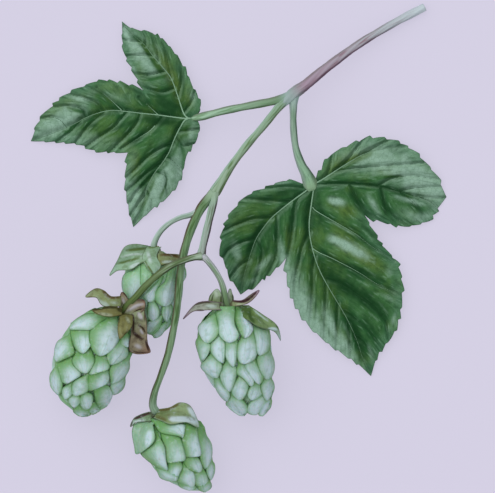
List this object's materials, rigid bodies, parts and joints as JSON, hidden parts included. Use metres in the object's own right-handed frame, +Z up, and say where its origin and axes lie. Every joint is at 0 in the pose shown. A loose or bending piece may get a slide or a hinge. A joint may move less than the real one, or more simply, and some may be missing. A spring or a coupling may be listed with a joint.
{
  "type": "hop bine",
  "caption": "Cut sprig of hop bine lying flat: a length of stem, lobed saw-toothed leaves, and cones of overlapping papery scales on curved stalks.",
  "frame": {"origin": "on the surface that the sprig lies on, under the middle of the sprig", "axes": "+Z up from the surface, +Y towards the cut end of the bine in plan, +X to the side of the larger leaf"},
  "size_m": [0.146, 0.1721, 0.0287],
  "materials": {
    "bine": "fibrous bine skin, purplish near the node and grey-green beyond",
    "stalk": "ridged green stalk skin with short hairs",
    "leaf": "rough, veined dark green leaf blade, paler towards the margins",
    "cone": "papery pale green cone scales with fine veins",
    "bract": "olive and brownish leafy bracts"
  },
  "bodies": {
    "root": {"bine_stem": "bine", "left_leaf_petiole": "stalk", "right_leaf_petiole": "stalk", "flower_stalk": "stalk", "bottom_cone_stalk": "stalk", "cone_pair_stalk": "stalk", "left_cone_stalk": "stalk", "right_cone_stalk": "stalk", "back_cone_stalk": "stalk", "left_leaf_blade": "leaf", "right_leaf_blade": "leaf", "left_cone": "cone", "right_cone": "cone", "bottom_cone": "cone", "back_cone": "cone", "left_cone_outer_left_bract": "bract", "left_cone_inner_left_bract": "bract", "left_cone_upper_bract": "bract", "left_cone_upper_right_bract": "bract", "left_cone_front_bract": "bract", "left_cone_right_bract": "bract", "right_cone_left_bract": "bract", "right_cone_right_bract": "bract", "right_cone_drooping_bract": "bract", "right_cone_upper_left_bract": "bract", "right_cone_upper_right_bract": "bract", "bottom_cone_cap_bract": "bract", "bottom_cone_left_bract": "bract", "back_cone_left_bract": "bract", "back_cone_right_bract": "bract", "back_cone_front_bract": "bract"}
  },
  "joints": []
}
